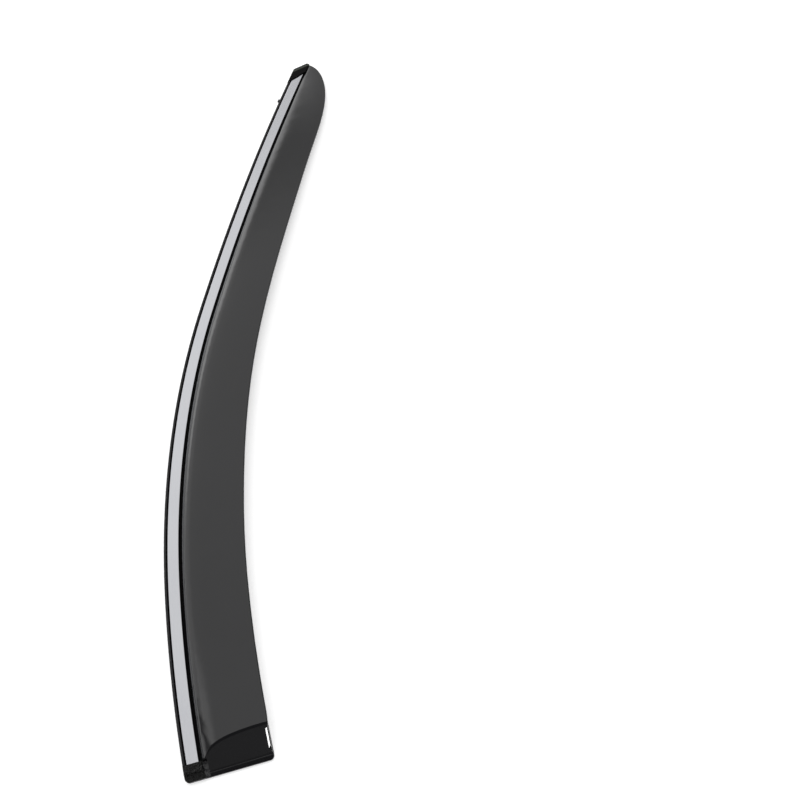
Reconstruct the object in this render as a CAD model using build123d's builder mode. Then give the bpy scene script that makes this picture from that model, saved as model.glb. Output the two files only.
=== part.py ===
"""Window rain deflector for a front car door, lying outer face up on its mounting tape.

The trim line is the plan curve that everything follows: the middle of the bright strip, made of three
tangent arcs. A place on the part is a station, the distance along that line from the rear end, and a
reach, the distance to the right of it, towards the free edge.

X points from the trim to the free edge, Y to the front tip and Z up from the resting surface. The origin is
on the underside of the tape, below the trim line, where the line runs parallel to Y.
"""
import os
from math import degrees, radians, sin, tan

from build123d import *

# Trim line in plan: radius and length of each arc, from the rear end to the front tip
REAR_RADIUS = 1420.0
REAR_LENGTH = 169.1
MID_RADIUS = 986.0
MID_REAR_LENGTH = 162.0
MID_FRONT_LENGTH = 157.0
FRONT_RADIUS = 3600.0
FRONT_LENGTH = 395.8

# Panel section: an upright foot, then a curve that starts steep, turns over the crown and levels out
WALL = 2.5
SHOULDER_FOOT = 2.0
SHOULDER_RUN = 2.5
SHOULDER_RISE = 12.8
CROWN_RUN = 23.0
CROWN_RISE = 15.1
EDGE_MARGIN = 4.4
EDGE_RISE = 14.5
TAPER_STATION = 338.0
TIP_RISE_SHARE = 0.08

# Free edge in plan: parallel to the trim line as far as a little behind the bulge, then closer to it at
# given distances from the front tip
BLADE_REACH = 69.6
PARALLEL_LEAD = 90.0
FRONT_EDGE = ((465.8, 3.3), (305.8, 8.4), (219.8, 10.7), (145.8, 13.6), (63.8, 20.5), (19.8, 36.1), (2.3, 51.2))
NOSE_RUN = 1.2
NOSE_DROP = 5.0
EDGE_ROUND = 1.0

# Ends of the panel
TIP_SLANT = 48.8
TIP_CORNER_REACH = 3.5
TIP_OUTER_RADIUS = 3.0
REAR_SLANT = -0.9
LIP_WIDTH = 4.1
LIP_END_INSET = 2.3
LIP_FALL = 8.0
LIP_TAPER_STATION = 38.0
END_SLOPE = 38.0
CORNER_RADIUS = 4.0
NOTCH_LENGTH = 14.3
NOTCH_REACH = 12.8
END_ROUND = 1.0
END_FOOT_ROUND = 2.0

# Trim section, across from the outer edge
OUTER_LIP = 2.4
OUTER_GROOVE = 1.2
STRIP_WIDTH = 10.4
INNER_GROOVE = 1.2
INNER_LIP = 1.3
TRIM_CLEARANCE = 0.3
CARRIER_BASE = 0.9
OUTER_LIP_HEIGHT = 2.5
INNER_LIP_HEIGHT = 1.6
LIP_ROUND = 0.6
BED_HEIGHT = 1.5
STRIP_THICKNESS = 0.8
STRIP_EDGE_RUN = 1.2
STRIP_EDGE_DROP = 0.45
STRIP_TIP_SETBACK = 23.5
STRIP_TIP_SLANT = 56.0

# End caps
REAR_CAP_LENGTH = 14.5
REAR_CAP_HEIGHT = 3.0
REAR_CAP_STEP = 7.1
REAR_CAP_STEP_RUN = 1.2
REAR_CAP_TOE_HEIGHT = 1.4
REAR_CAP_FLARE_LENGTH = 5.6
REAR_CAP_FLARE_REACH = 9.3
FRONT_CAP_HEIGHT = 3.4
FRONT_CAP_BEVEL_RUN = 3.6
FRONT_CAP_BEVEL_DROP = 1.2
CAP_ROUND = 0.5

# Tapes
TAPE_THICKNESS = 1.1
TAPE_WIDTH = 12.0
TAPE_REAR_SETBACK = 10.0
TAPE_FRONT_SETBACK = 22.0
TAB_STATION = 818.8
TAB_LENGTH = 5.0
TAB_OUT = 4.1
TAB_ROUND = 1.2
REAR_TAPE_WIDTH = 3.6
REAR_TAPE_MARGIN = 0.7
REAR_TAPE_START = 14.0
REAR_TAPE_END_INSET = 4.6

# Sizes worked out from these
STRIP_HALF = STRIP_WIDTH / 2
OUTER_REACH = STRIP_HALF + OUTER_GROOVE + OUTER_LIP
CARRIER_INNER = STRIP_HALF + INNER_GROOVE + INNER_LIP
ROOT = CARRIER_INNER + TRIM_CLEARANCE
FLANGE_BOTTOM = TAPE_THICKNESS
FLANGE_TOP = FLANGE_BOTTOM + WALL
FRONT_START = REAR_LENGTH + MID_REAR_LENGTH + MID_FRONT_LENGTH
LENGTH = FRONT_START + FRONT_LENGTH
STRIP_TIP = LENGTH - STRIP_TIP_SETBACK
EDGE_RUN = BLADE_REACH + EDGE_MARGIN - ROOT

# Room that cutting shapes and the panel's first form have past the finished part
OVERRUN = 14.0
BELOW = -5.0
ABOVE = 40.0
LOFT_SECTIONS = 33

# Turns of the arcs, in degrees
REAR_TURN = degrees(REAR_LENGTH / REAR_RADIUS)
MID_REAR_TURN = degrees(MID_REAR_LENGTH / MID_RADIUS)
MID_FRONT_TURN = degrees(MID_FRONT_LENGTH / MID_RADIUS)
FRONT_TURN = degrees(FRONT_LENGTH / FRONT_RADIUS)
REAR_OVERRUN_TURN = degrees(OVERRUN / REAR_RADIUS)
FRONT_OVERRUN_TURN = degrees(OVERRUN / FRONT_RADIUS)
FREE_TURN = degrees((REAR_LENGTH - LIP_TAPER_STATION) / REAR_RADIUS)
PARALLEL_TURN = degrees((MID_REAR_LENGTH - PARALLEL_LEAD) / MID_RADIUS)

# Where the arcs join, as angles about their centres, and the centres, with the bulge at the origin
REAR_JOINT = 180 + MID_REAR_TURN
FRONT_JOINT = 180 - MID_FRONT_TURN
MID_CENTRE = Vector(MID_RADIUS, 0)
REAR_CENTRE = MID_CENTRE + Vector(REAR_RADIUS - MID_RADIUS, 0).rotate(Axis.Z, MID_REAR_TURN)
FRONT_CENTRE = MID_CENTRE + Vector(FRONT_RADIUS - MID_RADIUS, 0).rotate(Axis.Z, -MID_FRONT_TURN)

# The trim line, with an overrun at both ends
with BuildLine() as trim_line:
    rear_sweep = REAR_TURN + REAR_OVERRUN_TURN
    CenterArc(REAR_CENTRE, REAR_RADIUS, REAR_JOINT + rear_sweep, -rear_sweep)
    CenterArc(MID_CENTRE, MID_RADIUS, REAR_JOINT, FRONT_JOINT - REAR_JOINT)
    CenterArc(FRONT_CENTRE, FRONT_RADIUS, FRONT_JOINT, -FRONT_TURN - FRONT_OVERRUN_TURN)
trim_wire = trim_line.wire()


def direction(station):
    """Unit vector along the trim line at a station."""
    return trim_wire.tangent_at(station + OVERRUN, position_mode=PositionMode.LENGTH)


def across(station):
    """Unit vector to the right of the trim line at a station."""
    return direction(station).rotate(Axis.Z, -90)


def place(station, reach=0.0):
    """Point of the plan at a station and a reach."""
    on_line = trim_wire.position_at(station + OVERRUN, position_mode=PositionMode.LENGTH)
    return on_line + across(station) * reach


def section_plane(station):
    """Upright plane across the trim line: its x is the reach and its y the height."""
    return Plane(origin=place(station), x_dir=across(station), z_dir=-direction(station))


def side_plane(station):
    """Upright plane along the trim line at a station: its x runs along the line and its y is the height."""
    return Plane(origin=place(station), x_dir=direction(station), z_dir=across(station))


def level_plane(station, height):
    """Level plane at a station and a height: its x is the reach and its y runs along the trim line."""
    return Plane(origin=place(station) + Vector(0, 0, height), x_dir=across(station), z_dir=(0, 0, 1))


def slanted(station, slant, reach):
    """Station at a reach, on a line that crosses the trim line at a station with a slant."""
    return station + reach * tan(radians(slant))


def rise_share(station):
    """Share of the full rise that the blade has at a station: it sinks towards the front tip."""
    past = max(0.0, station - TAPER_STATION) / (LENGTH - TAPER_STATION)
    return max(TIP_RISE_SHARE, 1.0 - (1.0 - TIP_RISE_SHARE) * past**2)


def blade_section(station, inset, start_reach, foot):
    """Filled section of the blade at a station, its outer face moved in by an inset, down to a height."""
    share = rise_share(station)
    base = FLANGE_TOP - inset
    root = ROOT + inset
    upright_top = base + SHOULDER_FOOT
    edge = (ROOT + EDGE_RUN, upright_top + EDGE_RISE * share)
    with BuildSketch(section_plane(station)) as section:
        with BuildLine():
            Polyline(edge, (ROOT + EDGE_RUN, foot), (start_reach, foot))
            if inset == 0:
                Polyline((start_reach, foot), (start_reach, base), (root, base), (root, upright_top))
            else:
                Line((start_reach, foot), (root, upright_top))
            Bezier(
                (root, upright_top),
                (root + SHOULDER_RUN, upright_top + SHOULDER_RISE * share),
                (ROOT + CROWN_RUN, upright_top + CROWN_RISE * share),
                edge,
            )
        make_face()
    return section.sketch


loft_stations = [
    -OVERRUN + (LENGTH + 2 * OVERRUN) * step / (LOFT_SECTIONS - 1) for step in range(LOFT_SECTIONS)
]

# Outline of the panel in plan
tip_corner = place(slanted(LENGTH, TIP_SLANT, TIP_CORNER_REACH), TIP_CORNER_REACH)
outer_tip_station = slanted(LENGTH, TIP_SLANT, -OUTER_REACH)
outer_front_turn = degrees((outer_tip_station - FRONT_START) / FRONT_RADIUS)
nose_tangent = direction(LENGTH) * NOSE_RUN - across(LENGTH) * NOSE_DROP
lip_corner_reach = BLADE_REACH - LIP_END_INSET
lip_corner = place(slanted(0, REAR_SLANT, lip_corner_reach), lip_corner_reach)
with BuildSketch() as outline:
    with BuildLine():
        free_rear = CenterArc(REAR_CENTRE, REAR_RADIUS - BLADE_REACH, REAR_JOINT + FREE_TURN, -FREE_TURN)
        free_mid = CenterArc(MID_CENTRE, MID_RADIUS - BLADE_REACH, REAR_JOINT, -PARALLEL_TURN)
        Spline(
            free_mid @ 1,
            *[place(LENGTH - setback, BLADE_REACH - narrowing) for setback, narrowing in FRONT_EDGE],
            tip_corner,
            tangents=(free_mid % 1, nose_tangent),
        )
        outer_rear = CenterArc(REAR_CENTRE, REAR_RADIUS + OUTER_REACH, REAR_JOINT + REAR_TURN, -REAR_TURN)
        CenterArc(MID_CENTRE, MID_RADIUS + OUTER_REACH, REAR_JOINT, FRONT_JOINT - REAR_JOINT)
        outer_front = CenterArc(FRONT_CENTRE, FRONT_RADIUS + OUTER_REACH, FRONT_JOINT, -outer_front_turn)
        Line(outer_front @ 1, tip_corner)
        Polyline(outer_rear @ 0, lip_corner, free_rear @ 0)
    make_face()
    fillet(outline.vertices().sort_by(Axis.Y)[:2], CORNER_RADIUS)
    fillet(outline.vertices().sort_by_distance(outer_front @ 1)[0], TIP_OUTER_RADIUS)

# The hollow under the blade, closed at the rear by the inner face of the end wall
wall_run = WALL / sin(radians(END_SLOPE))
hollow_foot = LIP_WIDTH + wall_run
with BuildPart() as hollow:
    loft([blade_section(station, WALL, ROOT + WALL, BELOW) for station in loft_stations])
    with BuildSketch(side_plane(0)):
        with BuildLine():
            low = hollow_foot + (BELOW - FLANGE_TOP) / tan(radians(END_SLOPE))
            high = hollow_foot + (ABOVE - FLANGE_TOP) / tan(radians(END_SLOPE))
            Polyline((-OVERRUN * 2, BELOW), (low, BELOW), (high, ABOVE), (-OVERRUN * 2, ABOVE), close=True)
        make_face()
    extrude(amount=EDGE_RUN * 2, both=True, mode=Mode.SUBTRACT)
    with BuildSketch(level_plane(0, BELOW)):
        Rectangle(NOTCH_REACH + WALL, NOTCH_LENGTH + WALL, align=Align.MIN)
    extrude(amount=ABOVE - BELOW, mode=Mode.SUBTRACT)

# Panel: filled form, less the wedge behind the end wall, the hollow and what lies outside the outline
with BuildPart() as visor_panel:
    loft([blade_section(station, 0, -OUTER_REACH - OVERRUN, FLANGE_BOTTOM) for station in loft_stations])
    with BuildSketch(side_plane(0)):
        with BuildLine():
            high = LIP_WIDTH + (ABOVE - FLANGE_TOP) / tan(radians(END_SLOPE))
            Polyline(
                (-OVERRUN * 2, FLANGE_TOP),
                (LIP_WIDTH, FLANGE_TOP),
                (high, ABOVE),
                (-OVERRUN * 2, ABOVE),
                close=True,
            )
        make_face()
    extrude(amount=EDGE_RUN * 2, both=True, mode=Mode.SUBTRACT)
    with BuildSketch(level_plane(0, FLANGE_TOP)):
        Rectangle(NOTCH_REACH, NOTCH_LENGTH, align=Align.MIN)
    extrude(amount=ABOVE, mode=Mode.SUBTRACT)
    extrude(outline.sketch, amount=ABOVE, mode=Mode.INTERSECT)
    wall_foot = place(LIP_WIDTH, BLADE_REACH / 2) + Vector(0, 0, FLANGE_TOP)
    fillet(visor_panel.edges().sort_by_distance(wall_foot)[0], END_FOOT_ROUND)
    add(hollow.part, mode=Mode.SUBTRACT)
    blade = visor_panel.faces().sort_by(SortBy.AREA)[-1]
    fillet(blade.edges().sort_by(Axis.Y)[:2], END_ROUND)
    blade = visor_panel.faces().sort_by(SortBy.AREA)[-1]
    fillet(blade.edges().sort_by_distance(place(FRONT_START, BLADE_REACH))[0], EDGE_ROUND)
    with BuildSketch(side_plane(0).offset(NOTCH_REACH)):
        with BuildLine():
            fall_start = LIP_WIDTH - END_FOOT_ROUND / 2
            fall = (fall_start + OVERRUN) * tan(radians(LIP_FALL))
            Polyline(
                (fall_start, FLANGE_TOP),
                (-OVERRUN, FLANGE_TOP),
                (-OVERRUN, FLANGE_TOP - fall),
                close=True,
            )
        make_face()
    extrude(amount=EDGE_RUN, mode=Mode.SUBTRACT)

# Planes where the carrier and the strip end: square at the rear cap, slanted at the tip cap
rear_cut = section_plane(REAR_CAP_LENGTH)
tip_cut_normal = direction(STRIP_TIP).rotate(Axis.Z, STRIP_TIP_SLANT)
tip_cut = Plane(origin=place(STRIP_TIP), z_dir=tip_cut_normal)
trim_start = section_plane(-OVERRUN)

# Trim carrier: a lip on each side, a groove inside each lip and the bed of the strip between
bed_top = FLANGE_TOP + BED_HEIGHT
groove_floor = FLANGE_TOP + CARRIER_BASE
outer_lip_top = FLANGE_TOP + OUTER_LIP_HEIGHT
inner_lip_top = FLANGE_TOP + INNER_LIP_HEIGHT
outer_groove_edge = -STRIP_HALF - OUTER_GROOVE
inner_groove_edge = STRIP_HALF + INNER_GROOVE


def lip_top(start, end, top):
    """Upper side of a lip, from its face at one reach to its face at another, with both corners rounded."""
    inwards = LIP_ROUND if end > start else -LIP_ROUND
    Bezier((start, top - LIP_ROUND), (start, top), (start + inwards, top))
    Line((start + inwards, top), (end - inwards, top))
    Bezier((end - inwards, top), (end, top), (end, top - LIP_ROUND))


with BuildPart() as trim_carrier:
    with BuildSketch(trim_start):
        with BuildLine():
            Polyline(
                (-STRIP_HALF, bed_top),
                (-STRIP_HALF, groove_floor),
                (outer_groove_edge, groove_floor),
                (outer_groove_edge, outer_lip_top - LIP_ROUND),
            )
            lip_top(outer_groove_edge, -OUTER_REACH, outer_lip_top)
            Polyline(
                (-OUTER_REACH, outer_lip_top - LIP_ROUND),
                (-OUTER_REACH, FLANGE_TOP),
                (CARRIER_INNER, FLANGE_TOP),
                (CARRIER_INNER, inner_lip_top - LIP_ROUND),
            )
            lip_top(CARRIER_INNER, inner_groove_edge, inner_lip_top)
            Polyline(
                (inner_groove_edge, inner_lip_top - LIP_ROUND),
                (inner_groove_edge, groove_floor),
                (STRIP_HALF, groove_floor),
                (STRIP_HALF, bed_top),
                (-STRIP_HALF, bed_top),
            )
        make_face()
    sweep(path=trim_wire)
    split(bisect_by=rear_cut, keep=Keep.BOTTOM)
    split(bisect_by=tip_cut, keep=Keep.BOTTOM)

# Chrome strip: a flat sheet on the bed, its two upper edges rolled down
strip_top = bed_top + STRIP_THICKNESS
roll_foot = strip_top - STRIP_EDGE_DROP
flat_half = STRIP_HALF - STRIP_EDGE_RUN
with BuildPart() as chrome_strip:
    with BuildSketch(trim_start):
        with BuildLine():
            Polyline(
                (-STRIP_HALF, roll_foot),
                (-STRIP_HALF, bed_top),
                (STRIP_HALF, bed_top),
                (STRIP_HALF, roll_foot),
            )
            Bezier((STRIP_HALF, roll_foot), (STRIP_HALF, strip_top), (flat_half, strip_top))
            Line((flat_half, strip_top), (-flat_half, strip_top))
            Bezier((-flat_half, strip_top), (-STRIP_HALF, strip_top), (-STRIP_HALF, roll_foot))
        make_face()
    sweep(path=trim_wire)
    split(bisect_by=rear_cut, keep=Keep.BOTTOM)
    split(bisect_by=tip_cut, keep=Keep.BOTTOM)

# Tip cap: fills the flange from the slanted end of the trim to the outline, with a bevel along its front
cap_front = direction(LENGTH).rotate(Axis.Z, TIP_SLANT)
bevel_plane = Plane(origin=place(LENGTH), x_dir=cap_front, z_dir=cap_front.cross(Vector(0, 0, 1)))
tip_cap_top = FLANGE_TOP + FRONT_CAP_HEIGHT
with BuildPart() as front_tip_cap:
    with BuildSketch(Plane.XY.offset(FLANGE_TOP)):
        with BuildLine():
            Polyline(
                place(STRIP_TIP - OVERRUN * 3, -OUTER_REACH - OVERRUN),
                place(STRIP_TIP, CARRIER_INNER),
                place(LENGTH + OVERRUN, CARRIER_INNER),
                place(LENGTH + OVERRUN, -OUTER_REACH - OVERRUN),
                close=True,
            )
        make_face()
        add(outline.sketch, mode=Mode.INTERSECT)
    extrude(amount=FRONT_CAP_HEIGHT)
    split(bisect_by=tip_cut, keep=Keep.TOP)
    with BuildSketch(bevel_plane):
        with BuildLine():
            Polyline(
                (-FRONT_CAP_BEVEL_RUN, tip_cap_top),
                (FRONT_CAP_BEVEL_RUN, tip_cap_top),
                (FRONT_CAP_BEVEL_RUN, tip_cap_top - 2 * FRONT_CAP_BEVEL_DROP),
                close=True,
            )
        make_face()
    extrude(amount=OVERRUN * 2, both=True, mode=Mode.SUBTRACT)
    fillet(front_tip_cap.faces().sort_by(Axis.Z)[-1].edges(), CAP_ROUND)

# Rear cap: a block that ends the trim, with a low toe that flares over the lip
with BuildPart() as rear_end_cap:
    with BuildSketch(side_plane(0)):
        with BuildLine():
            cap_top = FLANGE_TOP + REAR_CAP_HEIGHT
            toe_top = FLANGE_TOP + REAR_CAP_TOE_HEIGHT
            Polyline(
                (0, FLANGE_TOP),
                (0, toe_top),
                (REAR_CAP_STEP - REAR_CAP_STEP_RUN, toe_top),
                (REAR_CAP_STEP, cap_top),
                (REAR_CAP_LENGTH + OVERRUN, cap_top),
                (REAR_CAP_LENGTH + OVERRUN, FLANGE_TOP),
                close=True,
            )
        make_face()
    extrude(amount=OVERRUN, both=True)
    with BuildSketch(level_plane(0, FLANGE_TOP)):
        with BuildLine():
            Polyline(
                (-OVERRUN, 0),
                (-OVERRUN, REAR_CAP_LENGTH + OVERRUN),
                (CARRIER_INNER, REAR_CAP_LENGTH + OVERRUN),
                (CARRIER_INNER, REAR_CAP_FLARE_LENGTH),
                (REAR_CAP_FLARE_REACH, 0),
                close=True,
            )
        make_face()
    extrude(amount=REAR_CAP_HEIGHT, mode=Mode.INTERSECT)
    extrude(outline.sketch, amount=ABOVE, mode=Mode.INTERSECT)
    split(bisect_by=rear_cut, keep=Keep.TOP)
    fillet(rear_end_cap.faces().sort_by(Axis.Z)[-1].edges(), CAP_ROUND)

# Mounting tape under the flange, with a small tab that stands out past the outer edge
with BuildPart() as mounting_tape:
    with BuildSketch(trim_start):
        Rectangle(TAPE_WIDTH, TAPE_THICKNESS, align=(Align.CENTER, Align.MIN))
    sweep(path=trim_wire)
    split(bisect_by=section_plane(TAPE_REAR_SETBACK), keep=Keep.BOTTOM)
    split(bisect_by=section_plane(LENGTH - TAPE_FRONT_SETBACK), keep=Keep.TOP)
    with BuildSketch(level_plane(TAB_STATION, 0)) as tab:
        tab_length = OUTER_REACH + TAB_OUT
        Rectangle(tab_length, TAB_LENGTH, align=(Align.MAX, Align.CENTER))
        fillet(tab.vertices().sort_by(Axis.X)[:2], TAB_ROUND)
    extrude(amount=TAPE_THICKNESS)

# Short tape under the lip at the rear end
with BuildPart() as rear_tape:
    with BuildSketch(level_plane(0, 0)):
        rear_tape_length = BLADE_REACH - REAR_TAPE_END_INSET - REAR_TAPE_START
        with Locations((REAR_TAPE_START, REAR_TAPE_MARGIN)):
            Rectangle(rear_tape_length, REAR_TAPE_WIDTH, align=Align.MIN)
    extrude(amount=TAPE_THICKNESS)

# One STEP file for each piece
os.makedirs("parts", exist_ok=True)
visor_panel.part.label = "visor_panel"
export_step(visor_panel.part, "parts/visor_panel.step")
trim_carrier.part.label = "trim_carrier"
export_step(trim_carrier.part, "parts/trim_carrier.step")
chrome_strip.part.label = "chrome_strip"
export_step(chrome_strip.part, "parts/chrome_strip.step")
front_tip_cap.part.label = "front_tip_cap"
export_step(front_tip_cap.part, "parts/front_tip_cap.step")
rear_end_cap.part.label = "rear_end_cap"
export_step(rear_end_cap.part, "parts/rear_end_cap.step")
mounting_tape.part.label = "mounting_tape"
export_step(mounting_tape.part, "parts/mounting_tape.step")
rear_tape.part.label = "rear_tape"
export_step(rear_tape.part, "parts/rear_tape.step")
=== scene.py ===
"""Looks of the window rain deflector: finer panel and trim pieces, materials, light, floor and camera.

Lengths are in metres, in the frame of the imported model: X from the trim to the free edge, Y to the front
tip, Z up from the floor. A place on the trim is a station, the distance along its line from the rear end,
and a reach, the distance to the right of it.
"""
import math

import bmesh
import bpy
from mathutils import Euler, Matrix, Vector


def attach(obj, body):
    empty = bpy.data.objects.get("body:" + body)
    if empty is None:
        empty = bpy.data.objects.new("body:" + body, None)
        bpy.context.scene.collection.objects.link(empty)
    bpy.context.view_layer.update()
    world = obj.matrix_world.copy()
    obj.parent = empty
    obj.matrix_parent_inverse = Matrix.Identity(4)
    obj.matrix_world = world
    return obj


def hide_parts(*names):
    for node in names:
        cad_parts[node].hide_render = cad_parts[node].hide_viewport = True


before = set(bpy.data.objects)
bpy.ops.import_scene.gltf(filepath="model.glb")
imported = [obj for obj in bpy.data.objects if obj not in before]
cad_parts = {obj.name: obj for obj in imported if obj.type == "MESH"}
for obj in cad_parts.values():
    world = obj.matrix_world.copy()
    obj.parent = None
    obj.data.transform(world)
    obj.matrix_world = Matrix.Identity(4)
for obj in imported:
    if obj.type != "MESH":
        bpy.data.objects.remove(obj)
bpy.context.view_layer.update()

# Camera: where the photograph was taken from
CAMERA_PLACE = (0.22209, -0.44897, 0.857)
CAMERA_TILT = 30.0
CAMERA_LENS = 42.885
SENSOR_WIDTH = 36.0

# Trim line in plan: radius and length of each arc, from the rear end to the front tip
REAR_RADIUS = 1.420
REAR_LENGTH = 0.1691
MID_RADIUS = 0.986
MID_REAR_LENGTH = 0.162
MID_FRONT_LENGTH = 0.157
FRONT_RADIUS = 3.600
FRONT_LENGTH = 0.3958
FRONT_START = REAR_LENGTH + MID_REAR_LENGTH + MID_FRONT_LENGTH
LENGTH = FRONT_START + FRONT_LENGTH

# Trim section
FLANGE_TOP = 0.0036
STRIP_HALF = 0.0052
OUTER_GROOVE_EDGE = -0.0064
OUTER_EDGE = -0.0088
INNER_GROOVE_EDGE = 0.0064
INNER_EDGE = 0.0077
GROOVE_FLOOR = 0.0045
BED_TOP = 0.0051
OUTER_LIP_TOP = 0.0061
INNER_LIP_TOP = 0.0052
LIP_ROUND = 0.0006
STRIP_TOP = 0.0059
STRIP_EDGE_RUN = 0.0008
STRIP_EDGE_DROP = 0.00035
ROUND_STEPS = 6

# Ends of the trim
TRIM_REAR = 0.0145
TIP_SETBACK = 0.0235
TRIM_TIP = LENGTH - TIP_SETBACK
TIP_SLANT = math.radians(56.0)
TIP_ROUNDS = 4
SLANT_START = 0.8
STATION_STEP = 0.004
SLANT_ROWS = 16
SHARP_ANGLE = math.radians(35.0)

# Sloped end wall of the panel: the round of its solid, the wider round drawn and how far ahead that reaches
LIP_WIDTH = 0.0041
END_SLOPE = math.radians(38.0)
SOLID_ROUND = 0.00034
ARC_ROUND = 0.0022
ARC_RUN = 0.0039
ARC_FADE = 0.002
WALL_SKIN = 0.00003
WELD = 0.000001

# Bevel along the side of the end wall: two places on the line of the side, then its inset and extent
SIDE_START = (0.038, 0.0696)
SIDE_END = (-0.0011, 0.0673)
BEVEL_INSET = 0.0017
BEVEL_WIDTH = 0.0014
BEVEL_START = 0.0075
BEVEL_END = 0.0220
BEVEL_FADE = 0.0008
BEVEL_SLOPE = math.tan(math.radians(12.0))

# Notch between the end wall and the trim
NOTCH_REACH = 0.0128
NOTCH_LENGTH = 0.0143
NOTCH_RELIEF = 0.0011

# Front edge of the tip cap, and the band along the ridge of its bevel where a highlight is painted into the
# colour
CAP_FRONT_SLANT = math.radians(48.8)
RIDGE_INSET = 0.0024
RIDGE_WIDTH = 0.0030
RIDGE_BLUR = 0.0004
RIDGE_START = (RIDGE_INSET - RIDGE_BLUR, RIDGE_INSET + RIDGE_BLUR)
RIDGE_END = (RIDGE_INSET + RIDGE_WIDTH - RIDGE_BLUR, RIDGE_INSET + RIDGE_WIDTH + RIDGE_BLUR)

# Materials: texture scales per metre, dark and pale colours, roughness ranges, relief as strength and depth
GRAIN_DETAIL = 3.0
ACRYLIC_CLOUD = 22.0
ACRYLIC_HAZE = 1500.0
ACRYLIC_COLOURS = ((0.0085, 0.0085, 0.0093), (0.0110, 0.0110, 0.0120))
ACRYLIC_ROUGHNESS = (0.04, 0.09)
ACRYLIC_WAVINESS = (0.05, 0.0004)
ACRYLIC_IOR = 1.49
NOTCH_GRAIN = 420.0
CHROME_CLOUD = 18.0
CHROME_GRAIN = 1800.0
CHROME_COLOURS = ((0.475, 0.482, 0.512), (0.523, 0.526, 0.540))
CHROME_ROUGHNESS = (0.14, 0.26)
CHROME_RELIEF = (0.06, 0.0001)
TIP_GRAIN = 2200.0
# Tip cap: deep black, and the pale colour of a painted highlight along the ridge of its bevel
TIP_COLOURS = ((0.0015, 0.0015, 0.0015), (0.062, 0.068, 0.058))
TIP_UNEVENNESS = (0.7, 1.0)
TIP_ROUGHNESS = (0.45, 0.65)
TIP_RELIEF = (0.15, 0.0002)
TIP_GLOSS = 0.06
FOAM_CELLS = 1600.0
FOAM_DETAIL = 4.0
FOAM_SPREAD = 0.7
FOAM_COLOURS = ((0.016, 0.016, 0.017), (0.045, 0.045, 0.047))
FOAM_ROUGHNESS = (0.75, 0.95)
FOAM_RELIEF = (0.6, 0.0003)

# Floor
FLOOR_COLOUR = (0.8, 0.8, 0.8, 1.0)
FLOOR_GLOW = 0.50
FLOOR_SIZE = 40.0

# Surroundings: where each change of a unit direction's parts starts and ends, and the levels on both sides
ROOM_AHEAD = (-0.015, 0.03)
ROOM_LEAN = -0.4
ROOM_RIGHT = (0.02, 0.32)
ROOM_LEVELS = (1.38, 0.10)
FAR_RISE = (0.22, 0.48)
FAR_RISE_LEVELS = (1.0, 1.08)
FAR_FALL = (0.64, 0.80)
FAR_FALL_LEVELS = (1.0, 0.53)
FAR_END = (0.86, 0.95)
FAR_END_LEVELS = (1.0, 0.1)
WINDOW_LEAN = -0.46
WINDOW_TOP = (0.70, 0.59)
WINDOW_LEVELS = (0.0, 1.7)
WINDOW_AHEAD = (0.24, 0.46)
WINDOW_RIGHT = (-0.02, -0.20)
HIGH_BOX_FRONT = (0.17, 0.06)
HIGH_BOX_LEVELS = (0.0, 0.8)
HIGH_BOX_RIGHT = (-0.52, -0.72)
HIGH_BOX_FOOT = (0.36, 0.54)
SIDE_BOX_FRONT = (-0.03, -0.045)
SIDE_BOX_LEVELS = (0.0, 1.6)
SIDE_BOX_RIGHT = (-0.80, -0.90)
SIDE_BOX_TOP = (0.50, 0.42)
SIDE_BOX_BACK = (-0.6, -0.5)
REAR_RIGHT_LEFT = (0.42, 0.60)
REAR_RIGHT_FRONT = (-0.25, -0.40)
REAR_LEFT_RIGHT = (-0.50, -0.70)
REAR_LEFT_FRONT = (-0.22, -0.35)
FRONT_RIGHT_LEFT = (0.50, 0.62)
FRONT_RIGHT_LEVELS = (0.0, 0.8)
FRONT_RIGHT_BACK = (0.30, 0.45)
FRONT_RIGHT_TOP = (0.46, 0.36)
DIM_HEIGHT = (0.44, 0.56)
DIM_LEVELS = (0.27, 0.02)


def polar(angle):
    """Unit vector at an angle."""
    return Vector((math.cos(angle), math.sin(angle)))


# Trim line: centres of its arcs, with the bulge at the origin
MID_CENTRE = Vector((MID_RADIUS, 0.0))
MID_REAR_TURN = MID_REAR_LENGTH / MID_RADIUS
MID_FRONT_TURN = MID_FRONT_LENGTH / MID_RADIUS
REAR_CENTRE = MID_CENTRE + polar(MID_REAR_TURN) * (REAR_RADIUS - MID_RADIUS)
FRONT_CENTRE = MID_CENTRE + polar(-MID_FRONT_TURN) * (FRONT_RADIUS - MID_RADIUS)


def on_trim(station, reach):
    """Point of the plan at a station and a reach."""
    if station < REAR_LENGTH:
        angle = math.pi + MID_REAR_TURN + (REAR_LENGTH - station) / REAR_RADIUS
        return REAR_CENTRE + polar(angle) * (REAR_RADIUS - reach)
    if station < FRONT_START:
        angle = math.pi + MID_REAR_TURN - (station - REAR_LENGTH) / MID_RADIUS
        return MID_CENTRE + polar(angle) * (MID_RADIUS - reach)
    angle = math.pi - MID_FRONT_TURN - (station - FRONT_START) / FRONT_RADIUS
    return FRONT_CENTRE + polar(angle) * (FRONT_RADIUS - reach)


# Rear end: its directions in plan, the slope of the end wall and the line of the panel's side
REAR = on_trim(0.0, 0.0)
RIGHT = (on_trim(0.0, 1.0) - REAR).normalized()
FORWARDS = Vector((-RIGHT.y, RIGHT.x))
WALL_NORMAL = Vector((*(-FORWARDS * math.sin(END_SLOPE)), math.cos(END_SLOPE)))
SIDE = on_trim(*SIDE_START)
SIDE_LINE = (SIDE - on_trim(*SIDE_END)).normalized()
SIDE_INWARDS = Vector((-SIDE_LINE.y, SIDE_LINE.x))


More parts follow.
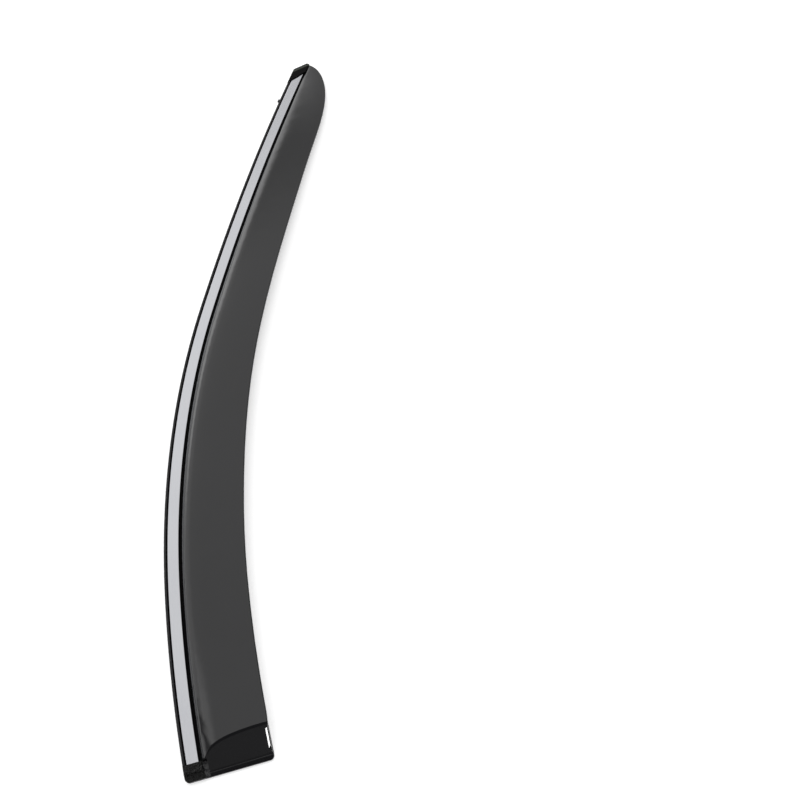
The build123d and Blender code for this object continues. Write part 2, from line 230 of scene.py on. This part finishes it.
def tree_of(owner):
    """Node tree of a material or world, emptied."""
    owner.use_nodes = True
    tree = owner.node_tree
    tree.nodes.clear()
    return tree


def add_node(tree, kind, **settings):
    """New node with its settings: inputs by name, with spaces as underscores, the rest as attributes."""
    node = tree.nodes.new(kind)
    for name, value in settings.items():
        socket = node.inputs.get(name.replace("_", " "))
        if socket is not None:
            socket.default_value = value
        else:
            setattr(node, name, value)
    return node


def link(tree, source, target):
    """Link from an output to an input."""
    tree.links.new(source, target)


def noise(tree, vector, scale, detail=2.0, roughness=0.5):
    """Noise value at a scale."""
    node = add_node(tree, "ShaderNodeTexNoise", Scale=scale, Detail=detail, Roughness=roughness)
    link(tree, vector, node.inputs["Vector"])
    return node.outputs["Fac"]


def ranged(tree, value, low, high, from_low=0.3, from_high=0.7, smooth=False):
    """Value mapped to a range and held at its ends, from the usual span of noise unless one is given."""
    node = add_node(tree, "ShaderNodeMapRange")
    node.interpolation_type = "SMOOTHSTEP" if smooth else "LINEAR"
    node.inputs["From Min"].default_value = from_low
    node.inputs["From Max"].default_value = from_high
    node.inputs["To Min"].default_value = low
    node.inputs["To Max"].default_value = high
    link(tree, value, node.inputs["Value"])
    return node.outputs["Result"]


def combined(tree, operation, first, second):
    """Result of a sum, product or the like of two values; the second may be a number."""
    node = add_node(tree, "ShaderNodeMath", operation=operation)
    link(tree, first, node.inputs[0])
    if isinstance(second, float):
        node.inputs[1].default_value = second
    else:
        link(tree, second, node.inputs[1])
    return node.outputs[0]


def product(tree, *values):
    """Product of several values."""
    result = values[0]
    for value in values[1:]:
        result = combined(tree, "MULTIPLY", result, value)
    return result


def total(tree, *values):
    """Sum of several values."""
    result = values[0]
    for value in values[1:]:
        result = combined(tree, "ADD", result, value)
    return result


def mixed(tree, share, first, second):
    """Colour between two colours."""
    node = add_node(tree, "ShaderNodeMix", data_type="RGBA")
    colours = [socket for socket in node.inputs if socket.type == "RGBA"]
    colours[0].default_value = (*first, 1.0)
    colours[1].default_value = (*second, 1.0)
    link(tree, share, node.inputs["Factor"])
    return [socket for socket in node.outputs if socket.type == "RGBA"][0]


def object_place(tree):
    """Coordinates fixed to the object."""
    return add_node(tree, "ShaderNodeTexCoord").outputs["Object"]


def distance_along(tree, place, axis, origin):
    """Distance from an origin along an axis."""
    node = add_node(tree, "ShaderNodeVectorMath", operation="DOT_PRODUCT")
    node.inputs[1].default_value = axis
    link(tree, place, node.inputs[0])
    return combined(tree, "SUBTRACT", node.outputs["Value"], Vector(axis).dot(Vector(origin)))


def bumped(tree, height, strength=1.0, distance=1.0, normal=None):
    """Normal from a height, on top of another normal where one is given."""
    node = add_node(tree, "ShaderNodeBump", Strength=strength, Distance=distance)
    link(tree, height, node.inputs["Height"])
    if normal is not None:
        link(tree, normal, node.inputs["Normal"])
    return node.outputs["Normal"]


def material(name):
    """New material with a Principled shader linked to its output."""
    made = bpy.data.materials.new(name)
    tree = tree_of(made)
    shader = add_node(tree, "ShaderNodeBsdfPrincipled")
    output = add_node(tree, "ShaderNodeOutputMaterial")
    link(tree, shader.outputs["BSDF"], output.inputs["Surface"])
    return made, tree, shader


def plastic(name, scale, colours, roughness, relief, gloss):
    """Dark moulded plastic: a fine texture in colour, roughness and relief, and a gloss level."""
    made, tree, shader = material(name)
    fine = noise(tree, object_place(tree), scale, GRAIN_DETAIL)
    link(tree, mixed(tree, fine, *colours), shader.inputs["Base Color"])
    link(tree, ranged(tree, fine, *roughness), shader.inputs["Roughness"])
    link(tree, bumped(tree, fine, *relief), shader.inputs["Normal"])
    shader.inputs["Specular IOR Level"].default_value = gloss
    return made


def notch_relief(tree, place):
    """Height of the uneven moulded surface in the notch at the rear end."""
    reach = distance_along(tree, place, (*RIGHT, 0.0), (*REAR, 0.0))
    station = distance_along(tree, place, (*FORWARDS, 0.0), (*REAR, 0.0))
    beside_trim = combined(tree, "LESS_THAN", reach, NOTCH_REACH)
    near_end = combined(tree, "LESS_THAN", station, NOTCH_LENGTH)
    uneven = product(tree, noise(tree, place, NOTCH_GRAIN), NOTCH_RELIEF)
    return product(tree, product(tree, beside_trim, near_end), uneven)


def smoked_acrylic():
    """Dark smoked acrylic with a high gloss, a faint waviness and fine haze."""
    made, tree, shader = material("smoked_acrylic")
    place = object_place(tree)
    cloud = noise(tree, place, ACRYLIC_CLOUD)
    haze = noise(tree, place, ACRYLIC_HAZE)
    link(tree, mixed(tree, cloud, *ACRYLIC_COLOURS), shader.inputs["Base Color"])
    link(tree, ranged(tree, haze, *ACRYLIC_ROUGHNESS), shader.inputs["Roughness"])
    waviness = bumped(tree, cloud, *ACRYLIC_WAVINESS)
    link(tree, bumped(tree, notch_relief(tree, place), normal=waviness), shader.inputs["Normal"])
    shader.inputs["IOR"].default_value = ACRYLIC_IOR
    return made


def chrome():
    """Bright metal foil with a fine grain."""
    made, tree, shader = material("chrome")
    place = object_place(tree)
    grain = noise(tree, place, CHROME_GRAIN, GRAIN_DETAIL)
    cloud = noise(tree, place, CHROME_CLOUD)
    link(tree, mixed(tree, cloud, *CHROME_COLOURS), shader.inputs["Base Color"])
    link(tree, ranged(tree, grain, *CHROME_ROUGHNESS), shader.inputs["Roughness"])
    link(tree, bumped(tree, grain, *CHROME_RELIEF), shader.inputs["Normal"])
    shader.inputs["Metallic"].default_value = 1.0
    return made


def black_with_painted_ridge_highlight():
    """Deep black plastic of the tip cap, with a painted highlight in its colour along the ridge of its bevel.
    """
    made, tree, shader = material("cap_black_painted_ridge_highlight")
    place = object_place(tree)
    tip = on_trim(LENGTH, 0.0)
    right = (on_trim(LENGTH, 1.0) - tip).normalized()
    front = Vector((-right.y, right.x, 0.0))
    front.rotate(Euler((0.0, 0.0, CAP_FRONT_SLANT)))
    inset = distance_along(tree, place, tuple(-front), (*tip, 0.0))
    started = ranged(tree, inset, 0.0, 1.0, *RIDGE_START)
    not_ended = ranged(tree, inset, 1.0, 0.0, *RIDGE_END)
    fine = noise(tree, place, TIP_GRAIN, GRAIN_DETAIL)
    # Painted highlight: the pale colour along the ridge of the bevel, made uneven by the fine noise
    ridge = product(tree, product(tree, started, not_ended), ranged(tree, fine, *TIP_UNEVENNESS))
    link(tree, mixed(tree, ridge, *TIP_COLOURS), shader.inputs["Base Color"])
    link(tree, ranged(tree, fine, *TIP_ROUGHNESS), shader.inputs["Roughness"])
    link(tree, bumped(tree, fine, *TIP_RELIEF), shader.inputs["Normal"])
    shader.inputs["Specular IOR Level"].default_value = TIP_GLOSS
    return made


def foam_tape():
    """Dark foam tape with closed cells."""
    made, tree, shader = material("foam_tape")
    cells = noise(tree, object_place(tree), FOAM_CELLS, FOAM_DETAIL, FOAM_SPREAD)
    link(tree, mixed(tree, cells, *FOAM_COLOURS), shader.inputs["Base Color"])
    link(tree, ranged(tree, cells, *FOAM_ROUGHNESS), shader.inputs["Roughness"])
    link(tree, bumped(tree, cells, *FOAM_RELIEF), shader.inputs["Normal"])
    return made


ACRYLIC = smoked_acrylic()
CHROME = chrome()
FOAM = foam_tape()
TRIM_BLACK = plastic(
    "trim_black",
    scale=900.0,
    colours=((0.008, 0.008, 0.009), (0.014, 0.014, 0.016)),
    roughness=(0.20, 0.32),
    relief=(0.08, 0.0002),
    gloss=0.25,
)
# Painted shade: a darker, less glossy copy of the trim's black for the faces in and beside its grooves
GROOVE_PAINTED_SHADE = plastic(
    "groove_painted_shade",
    scale=900.0,
    colours=((0.0012, 0.0012, 0.0013), (0.0030, 0.0030, 0.0032)),
    roughness=(0.60, 0.80),
    relief=(0.10, 0.0002),
    gloss=0.05,
)
TIP_BLACK = black_with_painted_ridge_highlight()
CAP_BLACK = plastic(
    "cap_black",
    scale=480.0,
    colours=((0.001, 0.001, 0.001), (0.007, 0.007, 0.0065)),
    roughness=(0.16, 0.42),
    relief=(1.0, 0.0028),
    gloss=0.20,
)

NODE_MATERIALS = {
    "front_tip_cap": TIP_BLACK,
    "rear_end_cap": CAP_BLACK,
    "mounting_tape": FOAM,
    "rear_tape": FOAM,
}
for node, made in NODE_MATERIALS.items():
    for material_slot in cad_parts[node].material_slots:
        material_slot.material = made


def panel_place(point):
    """Station and reach of a point, and how far it lies ahead of the end wall and inside the panel's side."""
    offset = point.xy - REAR
    station = offset.dot(FORWARDS)
    wall_station = LIP_WIDTH + (point.z - FLANGE_TOP) / math.tan(END_SLOPE)
    return station, offset.dot(RIGHT), station - wall_station, (point.xy - SIDE).dot(SIDE_INWARDS)


def progress(value, start, end):
    """Share of the way from a start to an end, held at both."""
    return min(max((value - start) / (end - start), 0.0), 1.0)


def on_wall(point):
    """Whether a point is on the face of the end wall."""
    return abs(panel_place(point)[2]) < WALL_SKIN and point.z > FLANGE_TOP


def of_kind(geometry, kind):
    """Elements of one kind."""
    return [element for element in geometry if isinstance(element, kind)]


def bevel_wall(shape, kept):
    """Narrow bevel along the side of the end wall, with its faces' own normals."""
    faces = [face for face in shape.faces if all(on_wall(corner.co) for corner in face.verts)]
    cut = set(faces)
    for face in faces:
        cut.update(face.edges)
        cut.update(face.verts)
    bevel_end = BEVEL_INSET + BEVEL_WIDTH
    planes = [(SIDE + SIDE_INWARDS * inset, SIDE_INWARDS) for inset in (BEVEL_INSET, bevel_end)]
    for station in (BEVEL_START, BEVEL_START + BEVEL_FADE, BEVEL_END, BEVEL_END + BEVEL_FADE):
        planes.append((REAR + FORWARDS * station, FORWARDS))
    geometry = list(cut)
    for origin, normal in planes:
        divided = bmesh.ops.bisect_plane(
            shape, geom=geometry, dist=WELD, plane_co=(*origin, 0.0), plane_no=(*normal, 0.0)
        )
        geometry = divided["geom"]
    for corner in of_kind(geometry, bmesh.types.BMVert):
        station, _, _, inside = panel_place(corner.co)
        span = progress(station, BEVEL_START, BEVEL_START + BEVEL_FADE)
        span *= 1.0 - progress(station, BEVEL_END, BEVEL_END + BEVEL_FADE)
        depth = BEVEL_WIDTH * BEVEL_SLOPE * (1.0 - progress(inside, BEVEL_INSET, bevel_end))
        corner.co -= WALL_NORMAL * depth * span
    for face in of_kind(geometry, bmesh.types.BMFace):
        face.normal_update()
        for loop in face.loops:
            loop[kept] = face.normal


def widen_arc(shape):
    """Wider round along the top edge of the end wall, left out at the notch."""
    for corner in shape.verts:
        _, reach, ahead, _ = panel_place(corner.co)
        if WALL_SKIN < ahead < ARC_RUN and corner.co.z > FLANGE_TOP:
            wide = ARC_ROUND * progress(ahead, 0.0, SOLID_ROUND)
            wide += (ARC_RUN - ARC_ROUND) * progress(ahead, SOLID_ROUND, ARC_RUN)
            move = (wide - ahead) * progress(reach, NOTCH_REACH, NOTCH_REACH + ARC_FADE)
            corner.co.xy += FORWARDS * move


def fine_panel(name, solid):
    """Mesh of the panel: its solid's mesh and normals, with the end wall's wider round and bevel."""
    shape = bmesh.new()
    shape.from_mesh(solid)
    kept = shape.loops.layers.float_vector.new("kept_normal")
    for face, polygon in zip(shape.faces, solid.polygons):
        for loop, index in zip(face.loops, polygon.loop_indices):
            loop[kept] = solid.corner_normals[index].vector
    bmesh.ops.remove_doubles(shape, verts=shape.verts, dist=WELD)
    bevel_wall(shape, kept)
    widen_arc(shape)
    mesh = bpy.data.meshes.new(name)
    shape.to_mesh(mesh)
    shape.free()
    mesh.shade_smooth()
    normals = [tuple(item.vector) for item in mesh.attributes["kept_normal"].data]
    mesh.attributes.remove(mesh.attributes["kept_normal"])
    mesh.normals_split_custom_set(normals)
    return mesh


def tip_station(reach):
    """Station where the slanted front end of the trim meets a reach."""
    middle = on_trim(TRIM_TIP, 0.0)
    across = (on_trim(TRIM_TIP, 1.0) - middle).normalized()
    along = Vector((-across.y, across.x))
    station = TRIM_TIP + reach * math.tan(TIP_SLANT)
    for _ in range(TIP_ROUNDS):
        offset = on_trim(station, reach) - middle
        station -= offset.dot(along) - offset.dot(across) * math.tan(TIP_SLANT)
    return station


def rounded(start, corner, end):
    """Points of a round from a start to an end, drawn towards a corner, without the start."""
    points = []
    for step in range(1, ROUND_STEPS + 1):
        t = step / ROUND_STEPS
        weights = ((1 - t) ** 2, 2 * t * (1 - t), t**2)
        points.append(tuple(sum(w * p[i] for w, p in zip(weights, (start, corner, end))) for i in (0, 1)))
    return points


def lip(start, end, top):
    """Upper side of a lip from one face to the other, both corners rounded."""
    inwards = math.copysign(LIP_ROUND, end - start)
    points = [(start, top - LIP_ROUND)]
    points += rounded(points[-1], (start, top), (start + inwards, top))
    points.append((end - inwards, top))
    points += rounded(points[-1], (end, top), (end, top - LIP_ROUND))
    return points


def swept(name, profile, materials, face_materials):
    """Closed section swept along the trim line, from its square rear end to its slanted front end."""
    rows = []
    count = round((SLANT_START - TRIM_REAR) / STATION_STEP)
    for row in range(count + 1):
        station = TRIM_REAR + (SLANT_START - TRIM_REAR) * row / count
        rows.append([station] * len(profile))
    ends = [tip_station(reach) for reach, _ in profile]
    for row in range(1, SLANT_ROWS + 1):
        rows.append([SLANT_START + (end - SLANT_START) * row / SLANT_ROWS for end in ends])
    vertices = []
    for stations in rows:
        for station, (reach, height) in zip(stations, profile):
            vertices.append((*on_trim(station, reach), height))
    size = len(profile)
    faces = [tuple(range(size))]
    indices = [0]
    for row in range(len(rows) - 1):
        for i in range(size):
            j = (i + 1) % size
            faces.append((row * size + j, row * size + i, (row + 1) * size + i, (row + 1) * size + j))
            indices.append(face_materials[i])
    last = (len(rows) - 1) * size
    faces.append(tuple(last + i for i in reversed(range(size))))
    indices.append(0)
    mesh = bpy.data.meshes.new(name)
    mesh.from_pydata(vertices, [], faces)
    for made in materials:
        mesh.materials.append(made)
    mesh.polygons.foreach_set("material_index", indices)
    mesh.shade_smooth()
    mesh.set_sharp_from_angle(angle=SHARP_ANGLE)
    mesh.update()
    piece = bpy.data.objects.new(name, mesh)
    bpy.context.collection.objects.link(piece)
    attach(piece, "root")
    return piece


# Panel, with a wider round and a narrow bevel on its end wall
panel_mesh = fine_panel("visor_panel_fine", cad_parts["visor_panel"].data)
panel_mesh.materials.append(ACRYLIC)
panel = bpy.data.objects.new("visor_panel_fine", panel_mesh)
bpy.context.collection.objects.link(panel)
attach(panel, "root")
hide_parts("visor_panel")

# Carrier, with painted shade on its grooves, the bed under the strip and its inner lip: a darker, less glossy
# copy of its black
bed = [
    (STRIP_HALF, BED_TOP),
    (-STRIP_HALF, BED_TOP),
    (-STRIP_HALF, GROOVE_FLOOR),
    (OUTER_GROOVE_EDGE, GROOVE_FLOOR),
]
outer_lip = lip(OUTER_GROOVE_EDGE, OUTER_EDGE, OUTER_LIP_TOP)
under = [(OUTER_EDGE, FLANGE_TOP), (INNER_EDGE, FLANGE_TOP)]
inner_lip = lip(INNER_EDGE, INNER_GROOVE_EDGE, INNER_LIP_TOP)
inner_groove = [(INNER_GROOVE_EDGE, GROOVE_FLOOR), (STRIP_HALF, GROOVE_FLOOR)]
half_round = ROUND_STEPS // 2
shaded_bed_count = len(bed) + half_round
plain_count = len(outer_lip) - half_round + len(under)
shaded_inner_count = len(inner_lip) + len(inner_groove)
carrier = swept(
    "trim_carrier_fine",
    bed + outer_lip + under + inner_lip + inner_groove,
    (TRIM_BLACK, GROOVE_PAINTED_SHADE),
    [1] * shaded_bed_count + [0] * plain_count + [1] * shaded_inner_count,
)
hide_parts("trim_carrier")

# Chrome strip with rolled edges
roll_foot = STRIP_TOP - STRIP_EDGE_DROP
flat_half = STRIP_HALF - STRIP_EDGE_RUN
strip_profile = [(STRIP_HALF, roll_foot)]
strip_profile += rounded(strip_profile[-1], (STRIP_HALF, STRIP_TOP), (flat_half, STRIP_TOP))
strip_profile.append((-flat_half, STRIP_TOP))
strip_profile += rounded(strip_profile[-1], (-STRIP_HALF, STRIP_TOP), (-STRIP_HALF, roll_foot))
strip_profile += [(-STRIP_HALF, BED_TOP), (STRIP_HALF, BED_TOP)]
strip = swept("chrome_strip_fine", strip_profile, (CHROME,), [0] * len(strip_profile))
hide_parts("chrome_strip")

# Floor: pale and matt, white where the camera or a reflection sees it
bpy.ops.mesh.primitive_plane_add(size=FLOOR_SIZE, location=(0.0, 0.0, 0.0))
floor = bpy.context.object
floor.name = "floor"
floor_material = bpy.data.materials.new("floor")
tree = tree_of(floor_material)
diffuse = add_node(tree, "ShaderNodeBsdfDiffuse", Color=FLOOR_COLOUR)
glow = add_node(tree, "ShaderNodeEmission")
path = add_node(tree, "ShaderNodeLightPath")
seen = combined(tree, "MAXIMUM", path.outputs["Is Camera Ray"], path.outputs["Is Glossy Ray"])
seen = combined(tree, "MAXIMUM", seen, path.outputs["Is Transmission Ray"])
link(tree, product(tree, seen, FLOOR_GLOW), glow.inputs["Strength"])
both = add_node(tree, "ShaderNodeAddShader")
link(tree, diffuse.outputs[0], both.inputs[0])
link(tree, glow.outputs[0], both.inputs[1])
output = add_node(tree, "ShaderNodeOutputMaterial")
link(tree, both.outputs[0], output.inputs["Surface"])
floor.data.materials.append(floor_material)


def step(value, bounds, levels=(0.0, 1.0)):
    """Smooth change between two levels where a direction's part goes from one bound to the other."""
    start, end = bounds
    low, high = levels
    if start > end:
        start, end, low, high = end, start, high, low
    return ranged(tree, value, low, high, start, end, True)


# Surroundings: a bright room ahead with a window low on the left, soft boxes high on the left, low at the
# left side, behind the camera on both sides and ahead on the right, and dim elsewhere
world = bpy.data.worlds.new("studio")
bpy.context.scene.world = world
tree = tree_of(world)
coordinates = add_node(tree, "ShaderNodeTexCoord")
parts = add_node(tree, "ShaderNodeSeparateXYZ")
link(tree, coordinates.outputs["Generated"], parts.inputs[0])
x, y, z = (parts.outputs[name] for name in "XYZ")
leaning_right = total(tree, x, product(tree, y, ROOM_LEAN))
near_part = step(y, FAR_RISE, FAR_RISE_LEVELS)
far_part = step(y, FAR_FALL, FAR_FALL_LEVELS)
room_depth = product(tree, near_part, far_part, step(y, FAR_END, FAR_END_LEVELS))
room = product(tree, step(leaning_right, ROOM_RIGHT, ROOM_LEVELS), room_depth)
leaning_height = total(tree, z, product(tree, x, WINDOW_LEAN))
window_part = step(leaning_height, WINDOW_TOP, WINDOW_LEVELS)
window = product(tree, window_part, step(y, WINDOW_AHEAD), step(x, WINDOW_RIGHT))
high_box = step(y, HIGH_BOX_FRONT, HIGH_BOX_LEVELS)
high_box = product(tree, high_box, step(x, HIGH_BOX_RIGHT), step(z, HIGH_BOX_FOOT))
side_box = step(y, SIDE_BOX_FRONT, SIDE_BOX_LEVELS)
side_box = product(tree, side_box, step(x, SIDE_BOX_RIGHT), step(z, SIDE_BOX_TOP), step(y, SIDE_BOX_BACK))
rear_right = product(tree, step(x, REAR_RIGHT_LEFT), step(y, REAR_RIGHT_FRONT))
rear_left = product(tree, step(x, REAR_LEFT_RIGHT), step(y, REAR_LEFT_FRONT))
front_right = step(x, FRONT_RIGHT_LEFT, FRONT_RIGHT_LEVELS)
front_right = product(tree, front_right, step(y, FRONT_RIGHT_BACK), step(z, FRONT_RIGHT_TOP))
behind = total(tree, side_box, rear_right, rear_left)
ahead = product(tree, step(y, ROOM_AHEAD), total(tree, room, window, high_box))
level = total(tree, step(z, DIM_HEIGHT, DIM_LEVELS), ahead, front_right, behind)
background = add_node(tree, "ShaderNodeBackground")
link(tree, level, background.inputs["Strength"])
output = add_node(tree, "ShaderNodeOutputWorld")
link(tree, background.outputs[0], output.inputs["Surface"])


def soft_light(name, place, target, width, height, power, seen_in_gloss):
    """Flat lamp that faces a target."""
    data = bpy.data.lights.new(name, "AREA")
    data.shape = "RECTANGLE"
    data.size = width
    data.size_y = height
    data.energy = power
    lamp = bpy.data.objects.new(name, data)
    bpy.context.collection.objects.link(lamp)
    lamp.location = place
    aim = Vector(target) - Vector(place)
    lamp.rotation_euler = aim.to_track_quat("-Z", "Y").to_euler()
    lamp.visible_glossy = seen_in_gloss


# Lamps: soft light from above, and a small one for the glint on the bevel of the end wall
soft_light(
    "overhead",
    place=(0.1, 0.1, 2.2),
    target=(0.06, 0.1, 0.0),
    width=1.8,
    height=1.8,
    power=18.0,
    seen_in_gloss=False,
)
soft_light(
    "kicker",
    place=(0.849, -1.342, 0.574),
    target=(0.11, -0.293, 0.012),
    width=0.16,
    height=0.16,
    power=2.6,
    seen_in_gloss=True,
)

# Camera
camera_data = bpy.data.cameras.new("camera")
camera_data.lens = CAMERA_LENS
camera_data.sensor_width = SENSOR_WIDTH
camera = bpy.data.objects.new("camera", camera_data)
bpy.context.collection.objects.link(camera)
camera.location = CAMERA_PLACE
camera.rotation_euler = (math.radians(CAMERA_TILT), 0.0, 0.0)
bpy.context.scene.camera = camera
bpy.context.scene.view_settings.view_transform = "Standard"
